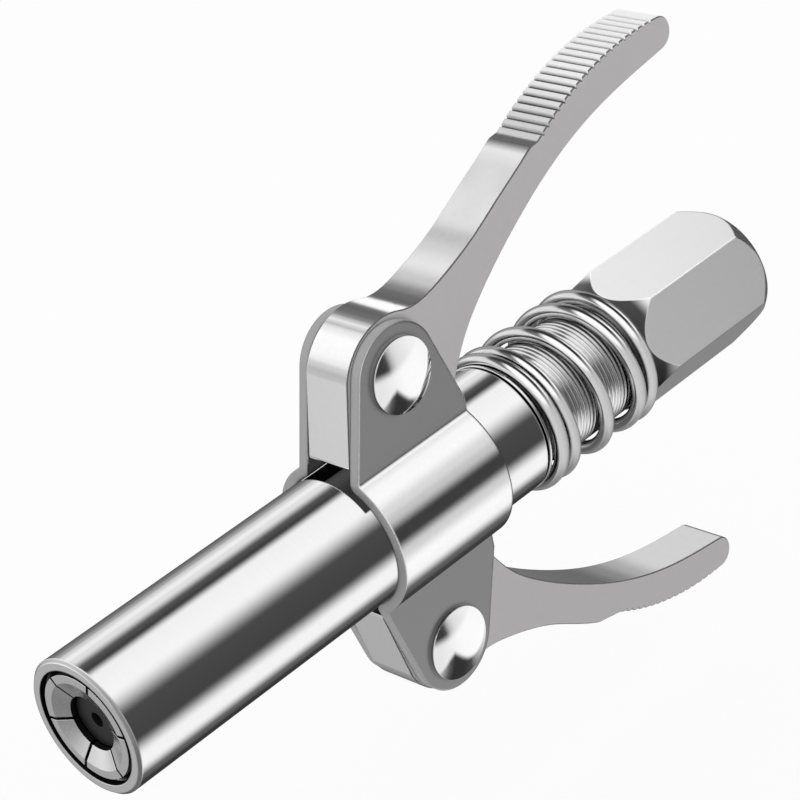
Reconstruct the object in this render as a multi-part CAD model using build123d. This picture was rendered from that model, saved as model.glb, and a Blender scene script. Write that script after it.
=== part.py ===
from build123d import *
from math import acos, asin, atan2, ceil, cos, hypot, pi, radians, sin, sqrt
import os

# Twin-lever grease coupler, in millimetres.
# X runs along the coupler from the nozzle to the hex, Z points up, the levers stand above and below.
# The origin is the centre of the grip ridge, where the jaws hold the head of a grease fitting.

# Running gaps
slide_gap = 0.10        # outer sleeve on the core, radial
shaft_gap = 0.05        # piston stem in its bore and lever on its rivet, radial
seat_gap = 0.05         # pieces that only rest against each other
taper_gap = 0.06        # sleeve taper around the closed jaws, radial
rivet_gap = 0.02        # side plate hole around its rivet, radial
pocket_gap = 0.20       # seal inside the closed jaws, radial
coil_gap = 0.20         # light spring around the piston's stem, radial
ring_gap = 0.10         # rubber ring to the spring inside it and to the jaw tails around it
cutter_reach = 1.0      # cutters run past the faces they cut by this

# Travel that the mechanism is cut for
sleeve_travel = 4.0     # outer sleeve pulled back by the levers

# Jaws
jaw_count = 6
jaw_turn = 81.2         # angle of the first jaw's middle about X, from Y towards Z
jaw_slit = 0.35         # width of the slit between two jaws
grip_r = 3.2            # ridge that closes on the neck of the fitting
grip_length = 0.7
jaw_lip_r = 6.15
jaw_lip_length = 0.85
jaw_mouth_r = 5.2       # wide end of the conical lead-in
jaw_mouth_depth = 0.75
jaw_taper_length = 6.0
jaw_taper_drop = 0.17   # drop in radius for each millimetre along the taper
jaw_neck_r = 4.85
jaw_neck_run = 1.4      # ramp from the taper down to the neck
jaw_lug_r = 5.65
jaw_lug_length = 2.2
jaw_tail_bore_length = 5.8
jaw_ring_wire = 0.84    # round section of the ring that presses the jaw tails apart

# Outer sleeve
sleeve_r = 8.0
sleeve_wall = 1.5
sleeve_length = 63.15
mouth_r = 6.75
mouth_length = 0.85
mouth_inset = 0.15      # jaws sit this far inside the sleeve's mouth
sleeve_land = 0.5       # straight land behind the taper
window_lead = 9.5       # window starts this far ahead of the lever pivots
window_length = 17.6
window_half_width = 5.65
sleeve_edge = 0.35      # chamfer on the sleeve's ends

# Core
core_setback = 0.2      # core starts this far behind the drawn-back sleeve's land
core_lip_length = 3.4   # inward lip that holds the jaw lugs
core_lip_room = 0.35    # radial room for the jaw necks to swing in the lip
lug_room = 0.15         # radial room for the jaw lugs in their groove
lug_front_play = 0.19   # end play ahead of the jaw lugs
lug_rear_play = 0.41    # end play behind the jaw lugs
stem_bore_length = 13.0
grease_way_r = 1.4
waist_r = 4.1           # groove that the lever noses reach into
waist_length = 7.1
core_edge = 0.3
core_thread_start = 67.0    # the thicker threaded stretch of the core starts here along X
core_thread_r = 6.9

# Seal and its piston
seal_r = 3.4
seal_setback = 0.05     # seal rests this far behind the grip ridge
seal_length = 3.95
seal_hole_r = 0.85
seal_rim = 0.3
nipple_r = 1.5
nipple_length = 2.1
piston_flange_length = 1.0
stem_r = 2.35
stem_length = 20.6
stem_way_r = 0.9
o_ring_wire = 0.8
o_ring_squeeze = 0.02
o_ring_groove_floor_r = 1.5
o_ring_groove_length = 1.8
o_ring_tail = 2.2       # stem left behind the groove
seal_spring_wire = 0.5
seal_spring_turns = 7
coil_points = 14        # points on each turn of a spring's centre line

# Check valve
ball_room = 0.6         # radial way for the grease around the ball
chamber_length = 12.0
ball_r = 2.4
check_spring_wire = 0.4
check_spring_r = 1.9
check_spring_turns = 5
valve_seat_way_r = 1.7
valve_seat_length = 1.6

# Hex adapter
hex_front = 81.0        # place of its front face along X
hex_flats = 15.5        # across flats
hex_turn = 10.3         # angle of one corner about X, from Y towards Z
hex_front_cone = 3.6    # length of the long front chamfer
hex_rear_cone = 2.4     # length of the short rear chamfer
hex_face_drop = 0.08    # end face radius is smaller than the half flats by this
socket_length = 9.4     # length of the core and the valve seat screwed into the adapter
hex_web = 1.6           # wall between the socket and the inlet
inlet_r = 4.37          # tapping bore of a 1/8 inch pipe thread
inlet_length = 11.3
inlet_way_r = 2.0
inlet_chamfer = 0.5

# Main spring and its washer
spring_wire = 1.65
spring_r = 8.22         # mean radius of the coils
spring_front_turns = 1.3
spring_front_pitch = 1.75
spring_active_turns = 2.1
spring_rear_turns = 1.1
spring_rear_pitch = 2.1
spring_start = 54.0     # angle about X where the wire starts
washer_length = 0.3
washer_rim = 0.1        # washer stands out past the sleeve by this

# Side plates
plate_thickness = 1.2
plate_length = 17.5
plate_sleeve_gap = 0.05
ear_r = 5.8
ear_rear_foot = 1.8     # ear's rear edge stands straight for this much above the sleeve
ear_inner_bend = 1.1
ear_outer_bend = 0.5

# Levers and their rivets
pivot_x = 45.3
pivot_z = 17.4
lever_width = 6.3
lever_side_gap = 0.15
boss_r = 6.2
nose_r = 1.35
nose_floor_gap = 0.15   # nose clears the core's waist by this
nose_back = 1.0         # nose's centre behind the pivot
nose_flank = 1.8        # straight front flank above the nose's centre
foot_gap = 1.3          # lever's underside clears the sleeve by this
rivet_r = 2.5
rivet_head_r = 4.3
rivet_head_edge = 0.8   # straight rim of the head under its dome
rivet_dome_height = 1.0
pad_radius = 37.0       # sweep of the thumb pad
pad_groove_pitch = 1.165
pad_groove_start = 1.0  # first groove from the pad's start
pad_groove_end = 0.5    # least room between the last groove and the pad's end
pad_groove_depth = 0.42
pad_groove_width = 0.6
tip_r = 2.0
tip_slope = 8.0         # slope of the arm's inner side where it meets the tip, in degrees
lever_edge = 0.15

# Lever outline, from the pivot: along X, and away from the coupler's axis
foot_level = sleeve_r + foot_gap - pivot_z
front_foot = (-8.3, foot_level)
nose_shoulder = (-1.3, foot_level)
nose_root = (3.6, foot_level)
arm_start = (3.3, 5.75)
upper_arm = ((6.4, 5.35), (8.9, 5.85), (12.9, 7.15), (17.0, 8.95), (20.4, 10.75), (24.2, 12.65),
             (26.8, 14.1))          # the last point is the knee
lower_arm = ((6.4, 5.35), (8.9, 5.85), (12.9, 7.15), (16.7, 8.85), (20.5, 11.15), (24.4, 13.35))
pad_start = (28.2, 14.2)
upper_tip_centre = (50.4, 17.55)
lower_tip_centre = (47.4, 17.1)     # the lower lever is the shorter one
arm_belly = ((39.0, 13.65), (30.6, 10.85), (22.5, 6.5), (15.0, 1.1))
heel_top = (10.3, -4.2)
heel = (9.3, -5.8)
knee_round = 1.5
outline_rounds = (
    (front_foot, 0.4), (arm_start, 1.5), (pad_start, 0.5), (heel, 1.2), (nose_root, 1.2),
    (nose_shoulder, 0.8),
)

# Radii and widths that follow from the sizes
taper_end_r = jaw_lip_r - jaw_taper_drop * jaw_taper_length
sleeve_bore_r = sleeve_r - sleeve_wall
core_r = sleeve_bore_r - slide_gap
core_lip_r = jaw_neck_r + core_lip_room
jaw_pocket_r = seal_r + pocket_gap
seal_spring_r = stem_r + coil_gap + seal_spring_wire / 2
jaw_ring_r = seal_spring_r + seal_spring_wire / 2 + ring_gap + jaw_ring_wire / 2
jaw_tail_bore_r = jaw_ring_r + jaw_ring_wire / 2 + ring_gap
chamber_r = ball_r + ball_room
plate_inner_y = lever_width / 2 + lever_side_gap
plate_outer_y = plate_inner_y + plate_thickness
bulge_inner_r = sleeve_r + plate_sleeve_gap
bulge_outer_r = bulge_inner_r + plate_thickness
nose_arm = pivot_z - waist_r - nose_floor_gap - nose_r

# Places along X that follow from the sizes
jaw_front = -(jaw_mouth_depth + grip_length / 2)
mouth_x = jaw_front - mouth_inset
taper_start = jaw_front + jaw_lip_length
taper_end = taper_start + jaw_taper_length
land_end = taper_end + sleeve_land
flare_end = land_end + sleeve_bore_r - (taper_end_r + taper_gap)
core_front = flare_end + sleeve_travel + core_setback
groove_front = core_front + core_lip_length
lug_front = groove_front + lug_front_play
jaw_rear = lug_front + jaw_lug_length
groove_rear = jaw_rear + lug_rear_play
jaw_pivot_x = (lug_front + jaw_rear) / 2
sleeve_rear = mouth_x + sleeve_length
window_front = pivot_x - window_lead
nose_x = pivot_x + nose_back
collar_x = nose_x - nose_r - seat_gap
spring_front = sleeve_rear + washer_length
seal_front = grip_length / 2 + seal_setback
seal_rear = seal_front + seal_length
flange_rear = seal_rear + piston_flange_length
stem_rear = flange_rear + stem_length
stem_bore_end = groove_rear + stem_bore_length
socket_end = hex_front + socket_length
core_rear = socket_end - valve_seat_length
chamber_front = core_rear - chamber_length
ball_x = core_rear - sqrt(ball_r ** 2 - valve_seat_way_r ** 2) - seat_gap
inlet_bottom = socket_end + hex_web
hex_rear = inlet_bottom + inlet_length

def flat_shape(points):
    """Face in the XZ plane through straight corners (along X, away from the axis)."""
    return make_face(Polyline(*[(x, 0, r) for x, r in points], close=True))


def turned(points):
    """Solid turned about X from a half section."""
    return revolve(flat_shape(points), Axis.X, 360)


def tube(start, end, outer, inner):
    """Plain ring or tube about X."""
    return turned([(start, inner), (end, inner), (end, outer), (start, outer)])


def ring_at(x, radius, wire):
    """Ring of round section about X."""
    section = Plane((x, 0, radius), x_dir=(1, 0, 0), z_dir=(0, -1, 0)) * Circle(wire / 2)
    return revolve(section, Axis.X, 360)


def box_between(low, high):
    """Block from its low corner to its high corner."""
    size = [b - a for a, b in zip(low, high)]
    middle = [(a + b) / 2 for a, b in zip(low, high)]
    return Pos(*middle) * Box(*size)


def coil(advance, radius, wire, turns, start_angle):
    """Wire of round section wound about X; advance(turn) is the wire's place along X."""
    count = ceil(turns * coil_points)
    points = []
    for i in range(count + 1):
        turn = turns * i / count
        angle = radians(start_angle) + 2 * pi * turn
        points.append((advance(turn), radius * cos(angle), radius * sin(angle)))
    path = Spline(*points)
    section = Plane(path @ 0, z_dir=path % 0) * Circle(wire / 2)
    return sweep(section, path, is_frenet=True)


def even_coil(start, end, radius, wire, turns):
    """Light spring of even pitch that fills the length from start to end."""
    length = end - start - wire
    return coil(lambda turn: start + wire / 2 + length * turn / turns, radius, wire, turns, 0)


def jaw_profile():
    """Half section of the jaws' full ring."""
    grip_front = jaw_front + jaw_mouth_depth
    grip_rear = grip_front + grip_length
    step = jaw_pocket_r - grip_r
    tail = jaw_rear - jaw_tail_bore_length
    return [
        (jaw_front, jaw_mouth_r), (jaw_front, jaw_lip_r), (taper_start, jaw_lip_r),
        (taper_end, taper_end_r), (taper_end + jaw_neck_run, jaw_neck_r), (lug_front, jaw_neck_r),
        (lug_front, jaw_lug_r), (jaw_rear, jaw_lug_r), (jaw_rear, jaw_tail_bore_r),
        (tail, jaw_tail_bore_r), (tail, jaw_pocket_r), (grip_rear + step, jaw_pocket_r),
        (grip_rear, grip_r), (grip_front, grip_r),
    ]


def jaw(index):
    """One jaw: a sector of the ring between two slits."""
    half_angle = pi / jaw_count
    reach = 2 * jaw_lip_r
    offset = jaw_slit / 2 / sin(half_angle)
    wedge = make_face(Polyline(
        (0, 0, offset), (0, -reach * sin(half_angle), offset + reach * cos(half_angle)),
        (0, reach * sin(half_angle), offset + reach * cos(half_angle)), close=True))
    length = jaw_rear - jaw_front + 2 * cutter_reach
    sector = Pos(jaw_front - cutter_reach, 0, 0) * extrude(wedge, length, dir=(1, 0, 0))
    angle = jaw_turn + index * 360 / jaw_count - 90
    return Rot(angle, 0, 0) * (turned(jaw_profile()) & sector)


def outer_sleeve():
    """Long tube with the taper that closes the jaws and a window for each lever's nose."""
    ramp = mouth_r - (jaw_lip_r + taper_gap)
    ramp_start = mouth_x + mouth_length
    ramp_end = max(ramp_start + ramp, taper_start)
    ramp_r = jaw_lip_r - jaw_taper_drop * (ramp_end - taper_start) + taper_gap
    body = turned([
        (mouth_x, mouth_r), (ramp_start, mouth_r), (ramp_end, ramp_r),
        (taper_end, taper_end_r + taper_gap), (land_end, taper_end_r + taper_gap),
        (flare_end, sleeve_bore_r), (sleeve_rear, sleeve_bore_r),
        (sleeve_rear, sleeve_r - sleeve_edge), (sleeve_rear - sleeve_edge, sleeve_r),
        (mouth_x + sleeve_edge, sleeve_r), (mouth_x, sleeve_r - sleeve_edge),
    ])
    for side in (1, -1):
        low = (window_front, -window_half_width, min(0, side * 2 * sleeve_r))
        high = (window_front + window_length, window_half_width, max(0, side * 2 * sleeve_r))
        body -= box_between(low, high)
    return body


def core_tube():
    """Inner tube: jaw socket, piston bore, waist for the noses, check chamber and threaded tail."""
    outside = [
        (core_front, core_r - core_edge), (core_front + core_edge, core_r),
        (collar_x - core_edge / 2, core_r), (collar_x, core_r - core_edge / 2),
        (collar_x, waist_r), (collar_x + waist_length, waist_r),
        (collar_x + waist_length + core_r - waist_r, core_r),
        (core_thread_start, core_r), (core_thread_start, core_thread_r),
        (hex_front - seat_gap, core_thread_r), (hex_front - seat_gap, core_r),
        (core_rear - core_edge, core_r), (core_rear, core_r - core_edge),
    ]
    lug_groove_r = jaw_lug_r + lug_room
    stem_bore_r = stem_r + shaft_gap
    inside = [
        (core_rear, chamber_r), (chamber_front, chamber_r), (chamber_front, grease_way_r),
        (stem_bore_end, grease_way_r), (stem_bore_end, stem_bore_r), (groove_rear, stem_bore_r),
        (groove_rear, lug_groove_r), (groove_front, lug_groove_r), (groove_front, core_lip_r),
        (core_front, core_lip_r),
    ]
    return turned(outside + inside)


def jaw_ring():
    """Rubber ring inside the jaw tails."""
    return ring_at(jaw_pivot_x, jaw_ring_r, jaw_ring_wire)


def rubber_seal():
    """Soft plug that the fitting presses against, with a hole for the grease."""
    recess = seal_rear - nipple_length - seat_gap
    return turned([
        (seal_front, seal_hole_r), (seal_front, seal_r - seal_rim), (seal_front + seal_rim, seal_r),
        (seal_rear, seal_r), (seal_rear, nipple_r + seat_gap), (recess, nipple_r + seat_gap),
        (recess, seal_hole_r),
    ])


def seal_piston():
    """Hollow piston behind the seal, with a flange for its spring and a groove for its ring."""
    groove_end = stem_rear - o_ring_tail
    groove_start = groove_end - o_ring_groove_length
    return turned([
        (seal_rear - nipple_length, stem_way_r), (seal_rear - nipple_length, nipple_r),
        (seal_rear, nipple_r), (seal_rear, seal_r), (flange_rear, seal_r), (flange_rear, stem_r),
        (groove_start, stem_r), (groove_start, o_ring_groove_floor_r),
        (groove_end, o_ring_groove_floor_r), (groove_end, stem_r), (stem_rear, stem_r),
        (stem_rear, stem_way_r),
    ])


def piston_o_ring():
    """Ring that seals the piston's stem in its bore."""
    place = stem_rear - o_ring_tail - o_ring_groove_length / 2
    outer = stem_r + shaft_gap - o_ring_squeeze
    return ring_at(place, outer - o_ring_wire / 2, o_ring_wire)


def seal_spring():
    """Light spring that holds the seal forward."""
    return even_coil(flange_rear + seat_gap, groove_rear - seat_gap, seal_spring_r,
                     seal_spring_wire, seal_spring_turns)


def check_spring():
    """Light spring that holds the check ball on its seat."""
    ball_front = ball_x - sqrt(ball_r ** 2 - (check_spring_r - check_spring_wire / 2) ** 2)
    return even_coil(chamber_front + seat_gap, ball_front - seat_gap, check_spring_r,
                     check_spring_wire, check_spring_turns)


def check_ball():
    """Ball that lets grease through towards the nozzle only."""
    return Pos(ball_x, 0, 0) * Sphere(ball_r)


def valve_seat():
    """Washer that the check ball seals on, clamped behind the core."""
    return tube(core_rear, core_rear + valve_seat_length, core_r - core_edge, valve_seat_way_r)


def hex_adapter():
    """Hexagon with long chamfers: screwed on the core in front, threaded inlet behind."""
    corner_r = hex_flats / sqrt(3)
    face_r = hex_flats / 2 - hex_face_drop
    points = [(hex_front, corner_r * cos(radians(hex_turn + 60 * i)),
               corner_r * sin(radians(hex_turn + 60 * i))) for i in range(6)]
    prism = extrude(make_face(Polyline(*points, close=True)), hex_rear - hex_front, dir=(1, 0, 0))
    blank = turned([
        (hex_front, 0), (hex_front, face_r), (hex_front + hex_front_cone, corner_r),
        (hex_rear - hex_rear_cone, corner_r), (hex_rear, face_r), (hex_rear, 0),
    ])
    front = hex_front - cutter_reach
    rear = hex_rear + cutter_reach
    bore = turned([
        (front, 0), (front, core_r + seat_gap), (socket_end, core_r + seat_gap),
        (socket_end, inlet_way_r), (inlet_bottom, inlet_way_r), (inlet_bottom, inlet_r),
        (hex_rear - inlet_chamfer, inlet_r), (rear, inlet_r + inlet_chamfer + cutter_reach), (rear, 0),
    ])
    return (prism & blank) - bore


def main_spring_advance(turn):
    """Place of the main spring's wire along X: close coils, open coils, close coils."""
    front_length = spring_front_turns * spring_front_pitch
    rear_length = spring_rear_turns * spring_rear_pitch
    length = hex_front - spring_front - spring_wire - 2 * seat_gap
    pitch = (length - front_length - rear_length) / spring_active_turns
    start = spring_front + seat_gap + spring_wire / 2
    front = min(turn, spring_front_turns)
    active = min(max(turn - spring_front_turns, 0), spring_active_turns)
    rear = max(turn - spring_front_turns - spring_active_turns, 0)
    return start + spring_front_pitch * front + pitch * active + spring_rear_pitch * rear


def main_spring():
    """Strong spring between the sleeve and the hexagon."""
    turns = spring_front_turns + spring_active_turns + spring_rear_turns
    return coil(main_spring_advance, spring_r, spring_wire, turns, spring_start)


def spring_washer():
    """Thin washer behind the sleeve that the main spring presses on."""
    return tube(sleeve_rear, spring_front, sleeve_r + washer_rim, core_r + slide_gap)


def tangent_point(corner, centre, radius, side):
    """Point where the line from a corner touches a circle; side is 1 or -1."""
    dx = corner[0] - centre[0]
    dz = corner[1] - centre[1]
    turn = acos(radius / hypot(dx, dz))
    angle = atan2(dz, dx) + side * turn
    return (centre[0] + radius * cos(angle), centre[1] + radius * sin(angle))


def ear_outline():
    """Outline of both ears from the side: a foot as long as the plate, narrowing to the pivot."""
    low = (pivot_x - plate_length / 2, bulge_inner_r)
    high = (pivot_x + plate_length / 2, bulge_inner_r)
    high_top = (high[0], high[1] + ear_rear_foot)
    front = tangent_point(low, (pivot_x, pivot_z), ear_r, -1)
    rear = tangent_point(high_top, (pivot_x, pivot_z), ear_r, 1)

    def at(point, side):
        return (point[0], 0, side * point[1])

    edges = []
    for side in (1, -1):
        edges.append(Line(at(low, side), at(front, side)))
        edges.append(ThreePointArc(at(front, side), (pivot_x, 0, side * (pivot_z + ear_r)), at(rear, side)))
        edges.append(Line(at(rear, side), at(high_top, side)))
        edges.append(Line(at(high_top, side), at(high, side)))
    edges.append(Line(at(low, 1), at(low, -1)))
    edges.append(Line(at(high, 1), at(high, -1)))
    return make_face(Wire(edges))


def side_plate(side):
    """Stamped plate: half-round bulge around the sleeve and a flat ear above and below."""
    start = pivot_x - plate_length / 2
    end = pivot_x + plate_length / 2
    reach = pivot_z + 2 * ear_r
    bulge = tube(start, end, bulge_outer_r, bulge_inner_r)
    bulge &= box_between((start, plate_inner_y, -reach), (end, reach, reach))
    body = bulge
    foot = sqrt(bulge_inner_r ** 2 - plate_inner_y ** 2)
    for up in (1, -1):
        low = (start, plate_inner_y, min(up * foot, up * reach))
        high = (end, plate_outer_y, max(up * foot, up * reach))
        body += box_between(low, high)
    body = body.clean()

    def edges_at(y, z):
        return [edge for edge in body.edges().filter_by(Axis.X)
                if abs(abs(edge.center().Y) - y) < 0.01 and abs(abs(edge.center().Z) - z) < 0.01]

    body = fillet(edges_at(plate_inner_y, foot), ear_inner_bend)
    crease = sqrt(bulge_outer_r ** 2 - plate_outer_y ** 2)
    body = fillet(edges_at(plate_outer_y, crease), ear_outer_bend)
    body &= extrude(ear_outline(), bulge_outer_r + cutter_reach, dir=(0, 1, 0))
    for up in (1, -1):
        hole = Rot(90, 0, 0) * Cylinder(rivet_r + rivet_gap, 2 * plate_outer_y)
        body -= Pos(pivot_x, 0, up * pivot_z) * hole
    return body if side > 0 else mirror(body, Plane.XZ)


def pivot_rivet(side):
    """Rivet through both ears and the lever, with a low domed head on each end."""
    rim = plate_outer_y + rivet_head_edge
    top = rim + rivet_dome_height
    dome_r = (rivet_head_r ** 2 + rivet_dome_height ** 2) / (2 * rivet_dome_height)
    slope = asin(rivet_head_r / dome_r) / 2
    half_way = (dome_r * sin(slope), 0, top - dome_r * (1 - cos(slope)))
    section = make_face(Wire([
        Line((0, 0, 0), (rivet_r, 0, 0)), Line((rivet_r, 0, 0), (rivet_r, 0, plate_outer_y)),
        Line((rivet_r, 0, plate_outer_y), (rivet_head_r, 0, plate_outer_y)),
        Line((rivet_head_r, 0, plate_outer_y), (rivet_head_r, 0, rim)),
        ThreePointArc((rivet_head_r, 0, rim), half_way, (0, 0, top)), Line((0, 0, top), (0, 0, 0)),
    ]))
    half = Rot(90, 0, 0) * revolve(section, Axis.Z, 360)
    return Pos(pivot_x, 0, side * pivot_z) * (half + mirror(half, Plane.XZ))


class ThumbPad:
    """Outer side of a lever's end: an arc from the pad's start to the top of the tip."""

    def __init__(self, tip_centre):
        self.end = (tip_centre[0], tip_centre[1] + tip_r)
        run = self.end[0] - pad_start[0]
        rise = self.end[1] - pad_start[1]
        chord = hypot(run, rise)
        depth = sqrt(pad_radius ** 2 - chord ** 2 / 4)
        self.centre = ((pad_start[0] + self.end[0]) / 2 + depth * rise / chord,
                       (pad_start[1] + self.end[1]) / 2 - depth * run / chord)
        self.length = 2 * pad_radius * asin(chord / (2 * pad_radius))

    def point(self, distance, height=0):
        """Point a distance along the arc from its start and a height above it."""
        start = atan2(pad_start[1] - self.centre[1], pad_start[0] - self.centre[0])
        angle = start - distance / pad_radius
        radius = pad_radius + height
        return (self.centre[0] + radius * cos(angle), self.centre[1] + radius * sin(angle))

    def groove(self, middle):
        """Cutter for one groove: a V, twice as tall and wide as the groove it cuts."""
        corners = [self.point(middle - pad_groove_width, pad_groove_depth),
                   self.point(middle, -pad_groove_depth),
                   self.point(middle + pad_groove_width, pad_groove_depth)]
        section = Pos(0, -lever_width, 0) * flat_shape(corners)
        return extrude(section, 2 * lever_width, dir=(0, 1, 0))


def lever_outline(arm, tip_centre, pad):
    """Outline of a lever from the side, about its pivot, with the arm along X."""
    knee = arm[-1]

    def at(point):
        return (point[0], 0, point[1])

    belly_slope = radians(tip_slope)
    belly_end = (tip_centre[0] + tip_r * sin(belly_slope), tip_centre[1] - tip_r * cos(belly_slope))
    front_top = tangent_point(front_foot, (0, 0), boss_r, -1)
    nose = (nose_back, -nose_arm)
    nose_rear = tangent_point(nose_root, nose, nose_r, -1)
    edges = [
        Line(at(front_foot), at(front_top)),
        ThreePointArc(at(front_top), at((0, boss_r)), at(arm_start)),
        Spline(*[at(p) for p in (arm_start,) + arm]),
        Line(at(knee), at(pad_start)),
        ThreePointArc(at(pad_start), at(pad.point(pad.length / 2)), at(pad.end)),
        ThreePointArc(at(pad.end), at((tip_centre[0] + tip_r, tip_centre[1])), at(belly_end)),
        Spline(*[at(p) for p in (belly_end,) + arm_belly + (heel_top,)],
               tangents=(at((-cos(belly_slope), -sin(belly_slope))),
                         at((heel[0] - heel_top[0], heel[1] - heel_top[1])))),
        Line(at(heel_top), at(heel)),
        Line(at(heel), at(nose_root)),
        Line(at(nose_root), at(nose_rear)),
        ThreePointArc(at(nose_rear), at((nose[0], nose[1] - nose_r)), at((nose[0] - nose_r, nose[1]))),
        Line(at((nose[0] - nose_r, nose[1])), at((nose[0] - nose_r, nose[1] + nose_flank))),
        Line(at((nose[0] - nose_r, nose[1] + nose_flank)), at(nose_shoulder)),
        Line(at(nose_shoulder), at(front_foot)),
    ]
    face = make_face(Wire(edges))
    for corner, radius in outline_rounds + ((knee, knee_round),):
        face = fillet(face.vertices().sort_by_distance(at(corner))[0], radius)
    return face


def lever(side, arm, tip_centre):
    """Lever with a boss on its rivet, a nose into the window and a grooved thumb pad."""
    pad = ThumbPad(tip_centre)
    outline = lever_outline(arm, tip_centre, pad)
    body = Pos(0, -lever_width / 2, 0) * extrude(outline, lever_width, dir=(0, 1, 0))
    body = chamfer(body.faces().filter_by(Axis.Y).edges(), lever_edge)
    body -= Rot(90, 0, 0) * Cylinder(rivet_r + shaft_gap, 2 * lever_width)
    grooves = int((pad.length - pad_groove_start - pad_groove_end) / pad_groove_pitch) + 1
    for index in range(grooves):
        body -= pad.groove(pad_groove_start + index * pad_groove_pitch)
    body = Pos(pivot_x, 0, pivot_z) * body
    return body if side > 0 else Rot(180, 0, 0) * body


parts = {
    "outer_sleeve": outer_sleeve,
    "core_tube": core_tube,
    "hex_adapter": hex_adapter,
    "valve_seat": valve_seat,
    "check_ball": check_ball,
    "check_spring": check_spring,
    "seal_piston": seal_piston,
    "rubber_seal": rubber_seal,
    "piston_o_ring": piston_o_ring,
    "seal_spring": seal_spring,
    "jaw_ring": jaw_ring,
    "main_spring": main_spring,
    "spring_washer": spring_washer,
    "far_side_plate": lambda: side_plate(1),
    "near_side_plate": lambda: side_plate(-1),
    "upper_rivet": lambda: pivot_rivet(1),
    "lower_rivet": lambda: pivot_rivet(-1),
    "upper_lever": lambda: lever(1, upper_arm, upper_tip_centre),
    "lower_lever": lambda: lever(-1, lower_arm, lower_tip_centre),
}
for number in range(jaw_count):
    parts[f"jaw_{number + 1}"] = lambda number=number: jaw(number)

os.makedirs("parts", exist_ok=True)
for name, build in parts.items():
    export_step(build(), f"parts/{name}.step")
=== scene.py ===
import math

import bpy
import numpy as np
from mathutils import Matrix, Vector


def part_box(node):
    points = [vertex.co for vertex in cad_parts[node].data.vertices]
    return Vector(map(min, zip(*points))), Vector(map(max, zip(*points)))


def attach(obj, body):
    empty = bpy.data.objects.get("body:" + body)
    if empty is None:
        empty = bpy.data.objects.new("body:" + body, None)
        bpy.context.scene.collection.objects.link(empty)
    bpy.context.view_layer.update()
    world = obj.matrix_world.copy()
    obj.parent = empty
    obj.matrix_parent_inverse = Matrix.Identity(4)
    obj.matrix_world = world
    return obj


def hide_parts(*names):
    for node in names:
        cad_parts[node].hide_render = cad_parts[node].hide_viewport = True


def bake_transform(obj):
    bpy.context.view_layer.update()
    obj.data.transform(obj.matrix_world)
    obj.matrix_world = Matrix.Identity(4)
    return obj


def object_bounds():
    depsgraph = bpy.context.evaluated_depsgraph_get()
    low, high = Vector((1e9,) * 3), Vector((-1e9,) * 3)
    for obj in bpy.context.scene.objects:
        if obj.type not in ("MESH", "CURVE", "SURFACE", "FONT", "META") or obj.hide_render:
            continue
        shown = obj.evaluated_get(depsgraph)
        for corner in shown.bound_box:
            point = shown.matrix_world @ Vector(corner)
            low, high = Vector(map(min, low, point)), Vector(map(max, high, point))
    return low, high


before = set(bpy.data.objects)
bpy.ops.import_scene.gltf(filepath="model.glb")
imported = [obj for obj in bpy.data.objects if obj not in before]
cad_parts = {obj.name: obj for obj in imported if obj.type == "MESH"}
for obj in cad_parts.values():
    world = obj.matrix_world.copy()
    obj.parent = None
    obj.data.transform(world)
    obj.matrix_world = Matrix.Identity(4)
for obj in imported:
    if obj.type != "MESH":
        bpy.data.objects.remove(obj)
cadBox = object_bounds()
mm = 0.001
print("frame loaded,", len(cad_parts), "nodes")


# hex text such as "#7b7b7b", written in sRGB, to the linear colour that the shaders take
def linearColour(hexText):
    values = [int(hexText[i:i + 2], 16) / 255 for i in (1, 3, 5)]
    return tuple(v / 12.92 if v <= 0.04045 else ((v + 0.055) / 1.055) ** 2.4 for v in values) + (1.0,)


# one node: settings are its own properties; an input is a value, a socket, or a node whose first
# output is linked
def addNode(tree, kind, inputs=None, **settings):
    node = tree.nodes.new(kind)
    for name, value in settings.items():
        setattr(node, name, value)
    for name, value in (inputs or {}).items():
        if isinstance(value, bpy.types.Node):
            value = next(socket for socket in value.outputs if socket.enabled)
        if isinstance(value, bpy.types.NodeSocket):
            tree.links.new(value, node.inputs[name])
        else:
            node.inputs[name].default_value = value
    return node


# an empty node material and its tree
def startMaterial(name):
    material = bpy.data.materials.new(name)
    material.use_nodes = True
    material.node_tree.nodes.clear()
    return material, material.node_tree


camera = {
    "place": (-120.60 * mm, -195.54 * mm, 154.48 * mm),
    "forward": (0.57262, 0.66120, -0.48470),
    "up": (0.46873, 0.22101, 0.85525),
    "lens": 122.25, "sensor": 36,       # both in millimetres
    "near": 0.01, "far": 20,
}


def makeCamera():
    data = bpy.data.cameras.new("camera")
    data.lens = camera["lens"]
    data.sensor_width = camera["sensor"]
    data.clip_start = camera["near"]
    data.clip_end = camera["far"]
    thing = bpy.data.objects.new("camera", data)
    back = -Vector(camera["forward"]).normalized()
    right = Vector(camera["up"]).cross(back).normalized()
    upright = back.cross(right)
    turn = Matrix((right, upright, back)).transposed().to_4x4()
    thing.matrix_world = Matrix.Translation(camera["place"]) @ turn
    bpy.context.scene.collection.objects.link(thing)
    bpy.context.scene.camera = thing
    print("camera placed")


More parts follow.
